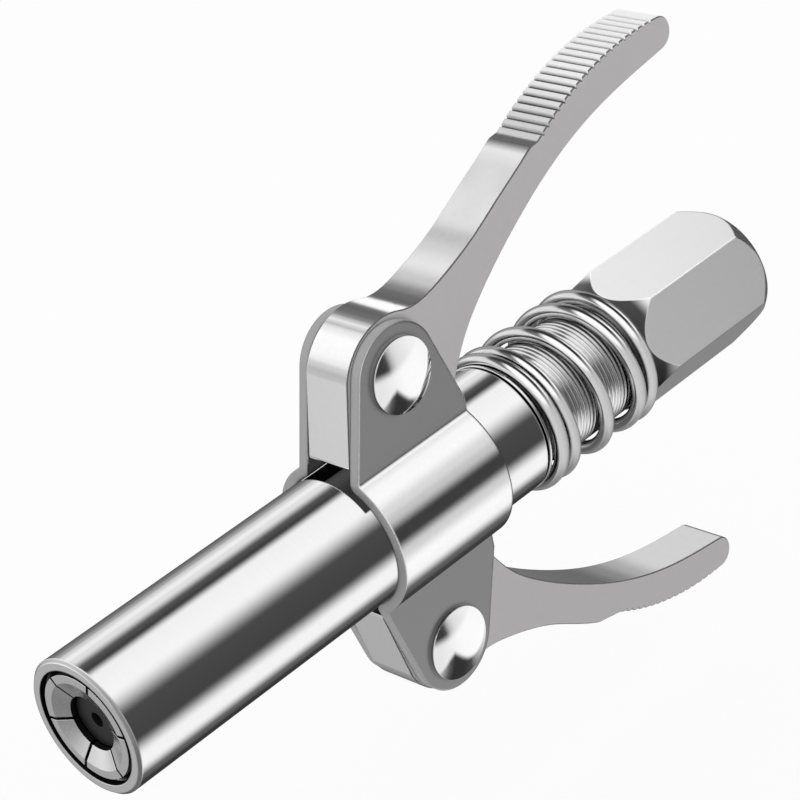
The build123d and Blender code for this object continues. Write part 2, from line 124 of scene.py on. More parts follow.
# Each dome is a studio of soft boxes and dark flags that only polished metal sees. Its levels are
# given on rings round the X axis: the ring's place along X (1 is away from the nozzle), then
# degrees round the ring (0 = far side, 90 = up, 180 = camera side) with the brightness there.
tubeBands = (
    (8, .4), (20, .8), (30, 1.08), (44, .95), (62, .1), (72, .06), (87, 1.12), (122, 1.16),
    (162, .08), (198, .07), (229, 1.14), (244, 1.14), (272, .14), (292, .04), (335, .1), (355, .2),
)
plateBands = (
    (8, .4), (30, 1.0), (60, .9), (100, .95), (112, 1.2), (126, 1.22), (146, .88), (157, .7),
    (175, .06), (187, .06), (205, .8), (228, 1.22), (244, 1.18), (272, .14), (292, .05), (340, .1),
)
plateMiddle = (
    (0, 1.0), (45, .6), (90, .9), (140, 1.2), (200, 1.2), (240, .4), (270, .3), (320, .6),
)
hexBands = (
    (0, .8), (40, 1.3), (75, 1.3), (97, 1.4), (125, 1.4), (150, .8), (177, .7), (205, .65),
    (228, .05), (252, .05), (270, .3), (310, .3),
)
leverRest = ((120, .8), (216, .54), (290, .6))      # what both levers mirror from there round
lowerBands = ((2, .5), (15, .8), (60, .8), (310, .2), (340, .17), (352, .3)) + leverRest

# rings of the upper lever's dome: the place along X, and the level on the far side and above
upperOuter = (
    (-.2, 1.26), (0, 1.05), (.05, .92), (.11, .64), (.16, .8),
    (.24, 1.02), (.3, .72), (.4, .3), (.5, .19), (.64, .16),
)


# what the rivets' domes mirror, by place along X: the level of a dark wedge towards the nozzle, where
# the dark patch below starts in degrees, and the patch's level
rivetShade = np.array((
    (-.15, .05, 242, .8), (0, .05, 236, .7), (.1, .05, 228, .4), (.2, .08, 219, .12), (.3, .55, 215, .04),
    (.4, .85, 224, .04), (.5, .95, 235, .04), (.6, 1.0, 248, .08), (.7, 1.05, 262, .6), (.78, 1.1, 270, .9),
)).T


# one ring of the rivets' dome: white but for the wedge and the patch, and dimmer on the far side
def rivetRing(along):
    wedge, patchStart, patch = (float(np.interp(along, rivetShade[0], row)) for row in rivetShade[1:])
    white = float(np.interp(along, (0, .5), (1.0, 1.22)))
    return (float(along), (
        (0, .8), (60, 1.1), (115, .9), (150, wedge), (185, wedge), (198, white), (patchStart - 4, white),
        (patchStart + 6, patch), (290, patch), (320, .5)))


domes = {
    "tubeDome": {
        "radius": 2.0,
        "rings": (
            (-1.0, ((0, .8), (60, .9), (180, .5), (284, .3), (310, .45))),
            (-.85, ((0, .95), (60, .9), (180, .5), (284, .24), (310, .4))),
            (-.6, ((0, 1.35), (90, 1.0), (150, .5), (215, .35), (260, .25), (295, .25), (318, .6),
                   (332, .65))),
            (-.1, ((0, .9), (60, 1.0), (100, 1.0), (160, .15), (200, .15), (240, 1.0), (270, .3), (320, .2))),
            (.4, tubeBands),
            (.7, tubeBands),
            (.9, ((0, .7), (90, 1.0), (180, .5), (230, 1.0), (290, .3))),
            (1.0, ((0, .8),)),
        ),
    },
    "plateDome": {
        "radius": 2.1,
        "pieces": ("near_side_plate", "far_side_plate"),
        "rings": (
            (-1.0, ((0, .6),)),
            (-.6, ((5, 1.1), (90, 1.0), (150, .9), (215, .8), (260, .6), (300, .7), (324, .85), (345, .9))),
            (-.1, plateMiddle),
            (.1, plateMiddle),
            (.4, plateBands),
            (.7, plateBands),
            (.84, ((0, .06),)),
            (1.0, ((0, .06),)),
        ),
    },
    "rivetDome": {
        "radius": 2.2,
        "pieces": ("upper_rivet", "lower_rivet"),
        "rings": (
            (-1.0, ((0, .5),)),
            (-.5, ((0, .8), (60, 1.1), (115, 1.0), (150, 1.1), (290, 1.1), (320, .5))),
        ) + tuple(rivetRing(along) for along in np.linspace(-.15, .78, 32)) + (
            (1.0, ((0, 1.15),)),
        ),
    },
    "upperLeverDome": {
        "radius": 2.3,
        "pieces": ("upper_lever",),
        "rings": (
            (-1.0, ((0, .6),)),
            (-.73, ((324, .52), (347, .8), (0, .7), (11, .6), (21, .8), (60, 1.0)) + leverRest),
            (-.63, ((324, .52), (349, .6), (12, .6), (20, .75), (29, 1.08), (60, 1.2)) + leverRest),
            (-.54, ((324, .52), (345, .7), (25, 1.2), (60, 1.27)) + leverRest),
        ) + tuple(
            (along, ((330, .62), (0, level), (60, level)) + leverRest) for along, level in upperOuter
        ) + (
            (.69, ((320, .9), (345, .7), (5, .5), (19, .25), (30, .2), (60, .6)) + leverRest),
            (.74, ((320, 1.1), (345, 1.2), (18, 1.2), (30, .9), (60, .8)) + leverRest),
            (1.0, ((0, .8),)),
        ),
    },
    "lowerLeverDome": {
        "radius": 2.4,
        "pieces": ("lower_lever",),
        "rings": (
            (-1.0, ((0, .6),)),
            (-.5, ((0, .5), (60, .8), (324, .6)) + leverRest),
            (.45, ((0, .3), (30, .8), (60, .8), (310, .2), (340, .17)) + leverRest),
            (.6, lowerBands),
            (.85, lowerBands),
            (1.0, ((0, .5),)),
        ),
    },
    "hexDome": {
        "radius": 2.5,
        "pieces": ("hex_adapter",),
        "rings": (
            (-1.0, ((0, .6),)),
            (0, ((0, .8), (60, 1.0), (110, 1.0), (150, .8), (216, .7), (250, .7), (300, .4))),
            (.4, hexBands),
            (.7, hexBands),
            (.8, ((0, .08),)),
            (1.0, ((0, .05),)),
        ),
    },
    "springDome": {
        "radius": 2.6,
        "pieces": ("main_spring_wire",),
        "rings": (
            (-1.0, ((0, .9), (100, 1.1), (190, .8), (280, .8), (300, .1), (345, .1))),
            (-.75, ((350, .2), (15, .9), (45, .9), (58, .25), (68, .25), (82, 1.3), (150, 1.25), (168, .75),
                    (280, .75), (300, .1))),
            (-.15, ((335, .1), (0, .5), (15, 1.0), (42, .9), (56, .12), (68, .12), (84, 1.3), (148, 1.25),
                    (166, .7), (240, .75), (280, .3))),
            (-.02, ((335, .1), (5, .4), (20, .7), (42, .6), (56, .08), (68, .08), (84, .9), (140, 1.0),
                    (160, .65), (240, .7), (280, .3))),
            (.1, ((335, .08), (20, .4), (42, .4), (56, .05), (132, .05), (152, .4), (166, .65), (240, .7),
                  (280, .3))),
            (.66, ((335, .08), (20, .4), (42, .4), (56, .05), (122, .05), (142, .4), (160, .65), (240, .6),
                   (280, .4))),
            (.8, ((335, .08), (20, .3), (42, .3), (56, .1), (68, .1), (80, 1.3), (146, 1.25), (162, .7),
                  (240, .5), (280, .2))),
            (.96, ((335, .05), (30, .2), (56, .1), (68, .1), (80, 1.3), (140, 1.2), (160, .4), (200, .3),
                   (280, .1))),
            (1.0, ((0, .05),)),
        ),
    },
}


# brightness at each (share along X, degrees round it): eased round each ring, then eased between rings
def domeLevels(rings, along, around):
    def eased(share):
        return share * share * (3 - 2 * share)

    def onRing(stops):
        stops = sorted(stops)
        places = np.array([stops[-1][0] - 360] + [stop[0] for stop in stops] + [stops[0][0] + 360], float)
        levels = np.array([stops[-1][1]] + [stop[1] for stop in stops] + [stops[0][1]], float)
        i = np.clip(np.searchsorted(places, around, side="right") - 1, 0, len(places) - 2)
        share = eased((around - places[i]) / (places[i + 1] - places[i]))
        return levels[i] + (levels[i + 1] - levels[i]) * share

    ringPlaces = np.array([ring[0] for ring in rings])
    ringLevels = np.array([onRing(ring[1]) for ring in rings])
    i = np.clip(np.searchsorted(ringPlaces, along, side="right") - 1, 0, len(rings) - 2)
    share = eased((along - ringPlaces[i]) / (ringPlaces[i + 1] - ringPlaces[i]))
    points = np.arange(len(along))
    return ringLevels[i, points] * (1 - share) + ringLevels[i + 1, points] * share


# a sphere about the origin: rings along X, points round each ring, brightness kept as an attribute
def makeDome(name, dome, seeThrough):
    rings, around = 181, 361        # one row each degree from end to end, one point each degree round
    tilt, turn = np.meshgrid(np.linspace(0, math.pi, rings), np.radians(np.arange(around)), indexing="ij")
    unit = np.stack([-np.cos(tilt), np.sin(tilt) * np.cos(turn), np.sin(tilt) * np.sin(turn)], axis=-1)
    corner = np.arange(rings * around).reshape(rings, around)
    faces = np.stack([corner[:-1, :-1], corner[:-1, 1:], corner[1:, 1:], corner[1:, :-1]], axis=-1)
    mesh = bpy.data.meshes.new(name)
    mesh.from_pydata(unit.reshape(-1, 3) * dome["radius"], [], faces.reshape(-1, 4))
    levels = domeLevels(dome["rings"], unit[..., 0].ravel(), np.degrees(turn).ravel())
    mesh.attributes.new("level", "FLOAT", "POINT").data.foreach_set("value", levels)
    thing = bpy.data.objects.new(name, mesh)
    bpy.context.scene.collection.objects.link(thing)
    for ray in ("camera", "diffuse", "shadow", "transmission", "volume_scatter"):
        setattr(thing, "visible_" + ray, False)
    material, tree = startMaterial(name)
    material.cycles.emission_sampling = "NONE"
    level = addNode(tree, "ShaderNodeAttribute", attribute_name="level")
    surface = addNode(tree, "ShaderNodeEmission", {"Strength": level.outputs["Fac"]})
    if seeThrough:
        clear = addNode(tree, "ShaderNodeBsdfTransparent")
        surface = addNode(tree, "ShaderNodeAddShader", {0: surface, 1: clear})
    addNode(tree, "ShaderNodeOutputMaterial", {"Surface": surface})
    mesh.materials.append(material)
    return thing


# every piece sees one dome: its own where it is named, otherwise the first
def makeDomes(extraPieces):
    named = {piece for dome in domes.values() for piece in dome.get("pieces", ())}
    for i, (name, dome) in enumerate(domes.items()):
        pieces = bpy.data.collections.new(name + "Pieces")
        for piece, node in list(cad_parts.items()) + [(thing.name, thing) for thing in extraPieces]:
            if piece in dome.get("pieces", ()) or ("pieces" not in dome and piece not in named):
                pieces.objects.link(node)
        makeDome(name, dome, seeThrough=i < len(domes) - 1).light_linking.receiver_collection = pieces
    print("domes made")


studio = {
    "floorDrop": 12 * mm,     # floor below the lowest point of the coupler
    "floorHalf": 1.2,
    "softLight": 0.95,        # what matt surfaces get from all round
    "floorWhite": 0.85,       # share of plain white that the camera sees in the floor
}


# 1 for the rays that should find the white background: from the camera, off gloss, through glass
def backgroundRay(tree):
    lightPath = addNode(tree, "ShaderNodeLightPath")
    seen = addNode(tree, "ShaderNodeMath", {
        0: lightPath.outputs["Is Camera Ray"], 1: lightPath.outputs["Is Glossy Ray"]}, operation="MAXIMUM")
    return addNode(tree, "ShaderNodeMath", {
        0: seen, 1: lightPath.outputs["Is Transmission Ray"]}, operation="MAXIMUM")


# white to the camera, in reflections and through glass, a soft even light on matt surfaces
def makeWorld():
    world = bpy.data.worlds.new("studio")
    bpy.context.scene.world = world
    world.use_nodes = True
    tree = world.node_tree
    tree.nodes.clear()
    level = addNode(tree, "ShaderNodeMapRange", {
        "Value": backgroundRay(tree), "To Min": studio["softLight"], "To Max": 1.0})
    back = addNode(tree, "ShaderNodeBackground", {"Color": (1, 1, 1, 1), "Strength": level})
    addNode(tree, "ShaderNodeOutputWorld", {"Surface": back})
    print("world lit")


def makeFloor():
    low = cadBox[0].z - studio["floorDrop"]
    half = studio["floorHalf"]
    mesh = bpy.data.meshes.new("floor")
    mesh.from_pydata([(-half, -half, low), (half, -half, low), (half, half, low), (-half, half, low)],
                     [], [(0, 1, 2, 3)])
    floor = bpy.data.objects.new("floor", mesh)
    bpy.context.scene.collection.objects.link(floor)
    material, tree = startMaterial("paleFloor")
    pale = addNode(tree, "ShaderNodeBsdfPrincipled", {
        "Base Color": linearColour("#fbfbfb"), "Roughness": 0.9})
    white = addNode(tree, "ShaderNodeEmission", {"Color": (1, 1, 1, 1), "Strength": 1.0})
    share = addNode(tree, "ShaderNodeMath", {
        0: backgroundRay(tree), 1: studio["floorWhite"]}, operation="MULTIPLY")
    mixed = addNode(tree, "ShaderNodeMixShader", {0: share, 1: pale, 2: white})
    addNode(tree, "ShaderNodeOutputMaterial", {"Surface": mixed})
    mesh.materials.append(material)
    floor.visible_glossy = False     # the domes stand there in reflections
    print("floor made")


coreThread = {
    "start": 67.0 * mm, "end": 80.9 * mm, "pitch": 0.62 * mm, "root": 6.92 * mm, "crest": 7.05 * mm,
    "inside": 6.6 * mm,       # the hidden wall that closes the piece, within the core
}
inletThread = {
    "start": 92.1 * mm, "end": 102.7 * mm, "pitch": 0.94 * mm, "root": 4.36 * mm, "crest": 4.12 * mm,
    "inside": 4.6 * mm,       # the hidden wall, within the adapter
}


# A screw thread about the X axis. Its radius depends on the place along X and the angle round it:
# root + (crest - root) * height, where height is a flattened wave of (x / pitch - angle / full turn)
# that dies away in the last turn at both ends. One more row at the hidden radius closes the shell.
def makeThread(name, thread, body, material):
    around, perTurn = 120, 10       # points round the axis, rows for each turn
    flatten = 1.5                   # cuts the crests flat
    length = thread["end"] - thread["start"]
    rows = int(length / thread["pitch"] * perTurn) + 1
    x = np.linspace(0, length, rows)[:, None]
    angle = (np.arange(around) * 2 * math.pi / around)[None, :]
    wave = 0.5 - 0.5 * np.cos(2 * math.pi * (x / thread["pitch"] - angle / (2 * math.pi)))
    fade = np.clip(np.minimum(x, length - x) / thread["pitch"], 0, 1)
    radius = thread["root"] + (thread["crest"] - thread["root"]) * np.clip(wave * flatten, 0, 1) * fade
    hidden = np.full((1, around), thread["inside"])
    radius = np.vstack([hidden, radius, hidden])
    along = np.vstack([x[:1], x, x[-1:]]) + thread["start"]
    points = np.stack([along * np.ones_like(angle), radius * np.cos(angle), radius * np.sin(angle)], axis=-1)
    corner = np.arange((rows + 2) * around).reshape(rows + 2, around)
    after, aside = np.roll(corner, -1, axis=0), np.roll(corner, -1, axis=1)
    faces = np.stack([corner, after, np.roll(after, -1, axis=1), aside], axis=-1).reshape(-1, 4)
    if thread["inside"] < thread["root"]:
        faces = faces[:, ::-1]
    mesh = bpy.data.meshes.new(name)
    mesh.from_pydata(points.reshape(-1, 3), [], faces)
    smooth = np.ones((rows + 2, around), bool)
    smooth[[0, -2, -1]] = False
    mesh.polygons.foreach_set("use_smooth", smooth.ravel())
    thing = bpy.data.objects.new(name, mesh)
    bpy.context.scene.collection.objects.link(thing)
    mesh.materials.append(material)
    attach(thing, body)
    return thing


# Sizes of the springs, the share of their length reached after so many turns, and how they are held:
# the front end by one body, the rear end by the other. "closed" is how much of each end would move with its
# body unchanged. Nothing here reads front, rear or closed; the wound wire stands still.
springs = {
    "main_spring": {
        "wire": 1.65 * mm, "radius": 8.22 * mm, "startAngle": 54,
        "turns": (0, 1.3, 3.4, 4.5), "shares": (0, 0.1334, 0.8645, 1),
        "front": "sleeve", "rear": "core", "closed": 2.6 * mm,
    },
    "seal_spring": {
        "wire": 0.5 * mm, "radius": 2.8 * mm, "startAngle": 0, "turns": (0, 7), "shares": (0, 1),
        "front": "seal", "rear": "core", "closed": 0,
    },
    "check_spring": {
        "wire": 0.4 * mm, "radius": 1.9 * mm, "startAngle": 0, "turns": (0, 5), "shares": (0, 1),
        "front": "core", "rear": "ball", "closed": 0,
    },
}


# A round wire wound about the X axis. Its centre line lies at the coil's radius, its angle grows evenly
# and its place along X follows the turns; round it the wire is a circle between the direction away
# from the axis and the one at right angles to both that and the line. One point closes each end.
def makeSpring(node, spring, material):
    around, perTurn = 24, 90        # points round the wire, rows for each turn
    low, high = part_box(node)
    half = spring["wire"] / 2
    turn = np.linspace(0, spring["turns"][-1], int(spring["turns"][-1] * perTurn))
    angle = math.radians(spring["startAngle"]) + 2 * math.pi * turn
    x = low.x + half + (high.x - low.x - 2 * half) * np.interp(turn, spring["turns"], spring["shares"])
    flat = np.zeros_like(turn)
    outward = np.stack([flat, np.cos(angle), np.sin(angle)], axis=-1)
    line = outward * spring["radius"] + np.stack([x, flat, flat], axis=-1)
    ahead = np.gradient(line, axis=0)
    ahead /= np.linalg.norm(ahead, axis=-1, keepdims=True)
    aside = np.cross(ahead, outward)
    section = (np.arange(around) * 2 * math.pi / around)[None, :, None]
    points = line[:, None] + half * (np.cos(section) * outward[:, None] + np.sin(section) * aside[:, None])
    rows = len(turn)
    corner = np.arange(rows * around).reshape(rows, around)
    beside = np.roll(corner, -1, axis=1)
    faces = np.stack([corner[:-1], beside[:-1], beside[1:], corner[1:]], axis=-1).reshape(-1, 4)
    first, last = np.full(around, rows * around), np.full(around, rows * around + 1)
    ends = np.vstack([np.stack([first, beside[0], corner[0]], axis=-1),
                      np.stack([last, corner[-1], beside[-1]], axis=-1)])
    mesh = bpy.data.meshes.new(node + "_wire")
    mesh.from_pydata(np.vstack([points.reshape(-1, 3), line[[0, -1]]]).tolist(), [],
                     faces.tolist() + ends.tolist())
    mesh.polygons.foreach_set("use_smooth", np.arange(len(faces) + len(ends)) < len(faces))
    thing = bpy.data.objects.new(node + "_wire", mesh)
    bpy.context.scene.collection.objects.link(thing)
    mesh.materials.append(material)
    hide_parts(node)
    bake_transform(thing)
    return thing


finishFade = 0.1 * mm       # width over which one finish gives way to the next
edgeSpan = {"From Min": 0.995, "From Max": 0.93}    # likeness of flat and rounded facing, off and on an edge
grainSpan = {"From Min": 0.3, "From Max": 0.7}      # the part of the noise that is used
creaseSpan = {"From Min": 0.25, "From Max": 0.8, "To Min": 0.2, "To Max": 1.0}     # shut to open creases


# the place on the piece, its distance from the coupler's axis, and the way it faces with its edges
# rounded off by edgeRadius
def readSurface(tree, edgeRadius):
    place = addNode(tree, "ShaderNodeTexCoord").outputs["Object"]
    spot = addNode(tree, "ShaderNodeSeparateXYZ", {0: place})
    across = addNode(tree, "ShaderNodeVectorMath", {0: place, 1: (0, 1, 1)}, operation="MULTIPLY")
    rounded = addNode(tree, "ShaderNodeBevel", {"Radius": edgeRadius}, samples=8)
    own = addNode(tree, "ShaderNodeVectorTransform", {0: rounded}, vector_type="NORMAL",
                  convert_from="WORLD", convert_to="OBJECT")
    facing = addNode(tree, "ShaderNodeSeparateXYZ", {0: own})
    sharp = addNode(tree, "ShaderNodeNewGeometry")
    alike = addNode(tree, "ShaderNodeVectorMath", {0: rounded, 1: sharp.outputs["Normal"]},
                    operation="DOT_PRODUCT")
    return {
        "place": place, "x": spot.outputs["X"],
        "radius": addNode(tree, "ShaderNodeVectorMath", {0: across}, operation="LENGTH").outputs["Value"],
        "normal": rounded.outputs["Normal"],
        "facingX": facing.outputs["X"], "facingZ": facing.outputs["Z"],
        "side": addNode(tree, "ShaderNodeMath", {0: facing.outputs["Y"]}, operation="ABSOLUTE").outputs[0],
        "edge": addNode(tree, "ShaderNodeMapRange", {      # 1 on an edge, 0 on open faces
            "Value": alike.outputs["Value"], **edgeSpan}, interpolation_type="SMOOTHSTEP").outputs[0],
    }


# share of the way from low to high for each (value, low, high), all multiplied together
def maskOf(tree, *steps):
    mask = None
    for value, low, high in steps:
        step = addNode(tree, "ShaderNodeMapRange", {"Value": value, "From Min": low, "From Max": high},
                       interpolation_type="SMOOTHSTEP")
        mask = step if mask is None else addNode(tree, "ShaderNodeMath", {0: mask, 1: step},
                                                 operation="MULTIPLY")
    return mask


# one look laid over another where the mask is 1
def layLook(tree, under, mask, over):
    colour = addNode(tree, "ShaderNodeMix", {
        0: mask, 6: under["colour"], 7: over["colour"]}, data_type="RGBA")
    roughness = addNode(tree, "ShaderNodeMix", {0: mask, 2: under["roughness"], 3: over["roughness"]})
    return {"colour": colour.outputs[2], "roughness": roughness.outputs[0]}


# The look made into a metal. A finish has its grain as (x, y, z) cells per millimetre. The same grain
# makes the roughness uneven by spread, mottles the colour and stands up by relief, and creases get
# painted shade within reach.
def finishMetal(tree, surface, look, finish):
    scale = addNode(tree, "ShaderNodeMapping", {
        "Vector": surface["place"], "Scale": [cells / mm for cells in finish["grain"]]})
    noise = addNode(tree, "ShaderNodeTexNoise", {
        "Vector": scale, "Scale": 1.0, "Detail": 4.0, "Roughness": 0.6})
    uneven = addNode(tree, "ShaderNodeMapRange", {
        "Value": noise, **grainSpan, "To Min": -finish["spread"], "To Max": finish["spread"]})
    roughness = addNode(tree, "ShaderNodeMath", {0: look["roughness"], 1: uneven}, operation="ADD")
    shade = addNode(tree, "ShaderNodeMapRange", {
        "Value": noise, **grainSpan, "To Min": 1 - finish["mottle"], "To Max": 1.0})
    # painted shade: the colour darkens toward black where the surface is shut in, within reach
    crease = addNode(tree, "ShaderNodeAmbientOcclusion", {"Distance": finish["reach"]}, samples=8)
    creaseShade = addNode(tree, "ShaderNodeMapRange", {"Value": crease.outputs["AO"], **creaseSpan})
    both = addNode(tree, "ShaderNodeMath", {0: shade, 1: creaseShade}, operation="MULTIPLY")
    colour = addNode(tree, "ShaderNodeMix", {0: both, 6: (0, 0, 0, 1), 7: look["colour"]}, data_type="RGBA")
    bump = addNode(tree, "ShaderNodeBump", {
        "Strength": 1.0, "Distance": finish["relief"], "Height": noise, "Normal": surface["normal"]})
    shader = addNode(tree, "ShaderNodeBsdfPrincipled", {
        "Base Color": colour.outputs[2], "Metallic": 1.0, "Roughness": roughness, "Normal": bump})
    addNode(tree, "ShaderNodeOutputMaterial", {"Surface": shader})
    return shader


# where the mask is 1 the shader is only that share a metal
def dullMetal(tree, shader, mask, share):
    metal = addNode(tree, "ShaderNodeMapRange", {"Value": mask, "To Min": 1.0, "To Max": share})
    tree.links.new(metal.outputs[0], shader.inputs["Metallic"])


nickelColour = linearColour("#e6e6e6")
bright = {"colour": nickelColour, "roughness": 0.07}
# painted shade for bores, slits, cut walls and parts within the sleeve, where light does not reach
paintedRecessShade = {"colour": linearColour("#3c3c3c"), "roughness": 0.45}
# edges lighter and smoother: wear, and a painted highlight along them
wornEdgeAndHighlight = {"colour": linearColour("#f6f6f6"), "roughness": 0.12}

sleeveLook = {
    "skin": 7.94 * mm, "ring": 6.6 * mm,    # distances from the axis: just under the skin, and the bore
    "skinFade": 0.02 * mm, "notFront": (-.8, -.6),
    "edge": 0.2 * mm,
    "finish": {"grain": (3.0, 0.2, 0.2), "spread": 0.025, "relief": 0.0006 * mm, "mottle": 0.02,
               "reach": 0.25 * mm},
}


# bright nickel plate on polished steel: a mirror with only hair-fine lines left from the buff, over an
# unpolished bore; the bore and the faces cut under the skin are painted in shade
def brightNickelPlate():
    material, tree = startMaterial("brightNickelPlate")
    surface = readSurface(tree, sleeveLook["edge"])
    skin = sleeveLook["skin"]
    inside = maskOf(tree, (surface["radius"], skin, skin - sleeveLook["skinFade"]),
                    (surface["facingX"], *sleeveLook["notFront"]))
    bore = maskOf(tree, (surface["radius"], sleeveLook["ring"], sleeveLook["ring"] - finishFade))
    look = layLook(tree, bright, inside, paintedRecessShade)
    look = layLook(tree, look, bore, paintedRecessShade)
    finishMetal(tree, surface, look, sleeveLook["finish"])
    return material


plateLook = {
    "ear": {"colour": linearColour("#8c8c8c"), "roughness": 0.42},
    "earStart": 9.35 * mm,    # distance from the axis where the flat ears leave the bulge
    "earFacing": (.9, .985), "frontFacing": (-.45, -.65),
    "outlineFacing": (.92, .75), "outlineFade": 0.3 * mm,
    "sheared": {"colour": linearColour("#a8a8a8"), "roughness": 0.5},
    "shearedMetal": 0.2,      # the torn edge scatters light as a matt surface does
    "edge": 0.42 * mm,
    "finish": {"grain": (2.2, 2.2, 2.2), "spread": 0.03, "relief": 0.0015 * mm, "mottle": 0.03,
               "reach": 0.9 * mm},
}


# nickel-plated steel sheet, pressed over a former: the bulge polished, the ears left dull from the press
def pressedNickelSheet():
    material, tree = startMaterial("pressedNickelSheet")
    surface = readSurface(tree, plateLook["edge"])
    earStart = plateLook["earStart"]
    ear = maskOf(tree, (surface["side"], *plateLook["earFacing"]),
                 (surface["radius"], earStart - finishFade, earStart + finishFade))
    front = maskOf(tree, (surface["facingX"], *plateLook["frontFacing"]))
    outline = maskOf(tree, (surface["side"], *plateLook["outlineFacing"]),
                     (surface["radius"], earStart, earStart + plateLook["outlineFade"]))
    sheared = addNode(tree, "ShaderNodeMath", {0: front, 1: outline}, operation="MAXIMUM")
    look = layLook(tree, bright, ear, plateLook["ear"])
    look = layLook(tree, look, sheared, plateLook["sheared"])
    shader = finishMetal(tree, surface, look, plateLook["finish"])
    dullMetal(tree, shader, sheared, plateLook["shearedMetal"])
    return material


leverLook = {
    "flank": {"colour": linearColour("#e0dddf"), "roughness": 0.45},
    # painted shade along the chamfers between the outer faces and the flanks
    "chamferShade": {"colour": linearColour("#707070"), "roughness": 0.4},
    "padRoot": linearColour("#d2d2d2"), "padTip": linearColour("#ffffff"), "padRoughness": 0.5,
    # painted shade in the grooves between the ribs, where the surface is shut in
    "groove": {"colour": linearColour("#2c2c2c"), "roughness": 0.5},
    "grooveReach": 0.6 * mm, "grooveOpen": (.66, .46),      # how open the surface is, ribs to grooves
    "padStart": 73.0 * mm, "padFade": 0.8 * mm, "padWhiteAt": 84.0 * mm,
    # painted shade on the arm's outer face just ahead of the pad
    "knee": {"colour": linearColour("#8a8a8a"), "roughness": 0.3},
    "kneeStart": 71.0 * mm, "kneeEnd": 72.1 * mm, "kneeFade": (0.3 * mm, 0.1 * mm),
    "flankFacing": (.93, .99), "trimFacing": ((.25, .5), (.93, .8)), "padFacing": (.6, .4),
    "outward": (0.05, 0.25),  # how far up or down the outer faces look
    "padMetal": 0.2,          # the blasted ribs scatter light as a matt surface does
    "edge": 0.16 * mm,
    "finish": {"grain": (1.2, 1.2, 1.2), "spread": 0.03, "relief": 0.0012 * mm, "mottle": 0.03,
               "reach": 1.1 * mm},
}


# forged steel lever under satin nickel: outer faces polished by the belt, flanks tumbled and dull, painted
# shade along the chamfers, on the arm ahead of the pad and in the pad's grooves, the pad's ribs lighter
# towards the tip
def forgedSatinNickel(name, up):
    material, tree = startMaterial(name)
    surface = readSurface(tree, leverLook["edge"])
    padStart, kneeEnd = leverLook["padStart"], leverLook["kneeEnd"]
    outward = (surface["facingZ"], *(up * share for share in leverLook["outward"]))
    flank = maskOf(tree, (surface["side"], *leverLook["flankFacing"]))
    chamferShade = maskOf(tree, *((surface["side"], *span) for span in leverLook["trimFacing"]))
    pad = maskOf(tree, (surface["x"], padStart, padStart + leverLook["padFade"]), outward,
                 (surface["side"], *leverLook["padFacing"]))
    tipward = maskOf(tree, (surface["x"], padStart, leverLook["padWhiteAt"]))
    ribs = addNode(tree, "ShaderNodeMix", {
        0: tipward, 6: leverLook["padRoot"], 7: leverLook["padTip"]}, data_type="RGBA")
    depth = addNode(tree, "ShaderNodeAmbientOcclusion", {
        "Distance": leverLook["grooveReach"]}, samples=8, only_local=True)
    groove = maskOf(tree, (depth.outputs["AO"], *leverLook["grooveOpen"]))
    padRibs = layLook(tree, {"colour": ribs.outputs[2], "roughness": leverLook["padRoughness"]}, groove,
                      leverLook["groove"])
    knee = maskOf(tree, (surface["x"], leverLook["kneeStart"], kneeEnd),
                  (surface["x"], *(kneeEnd + beyond for beyond in leverLook["kneeFade"])), outward)
    look = layLook(tree, bright, knee, leverLook["knee"])
    look = layLook(tree, look, pad, padRibs)
    look = layLook(tree, look, chamferShade, leverLook["chamferShade"])
    look = layLook(tree, look, flank, leverLook["flank"])
    shader = finishMetal(tree, surface, look, leverLook["finish"])
    dullMetal(tree, shader, pad, leverLook["padMetal"])
    return material


rivetLook = {
    "axis": (45.3 * mm, 17.4 * mm),     # along X, and above or below the coupler's axis
    "domeDepth": 3.445 * mm,  # centre of the dome's sphere beyond the coupler's middle
    "domeEnd": 4.12 * mm,     # distance from the rivet's axis where the dome gives way to the rim
    "domeFade": 0.12 * mm,
    "foot": 4.5 * mm, "wall": 5.25 * mm,    # the rim's wall, as distances from the coupler's middle
    "wallFade": 0.05 * mm,
    # painted shade on the rim's wall: lighter at its foot, dark at its top
    "wallFoot": linearColour("#909090"), "wallTop": linearColour("#303030"),
    "wallRoughness": 0.5, "wallMetal": 0.2,
    "edge": 0.12 * mm,
    "finish": {"grain": (1.5, 1.5, 1.5), "spread": 0.03, "relief": 0.0006 * mm, "mottle": 0.02,
               "reach": 0.8 * mm},
}
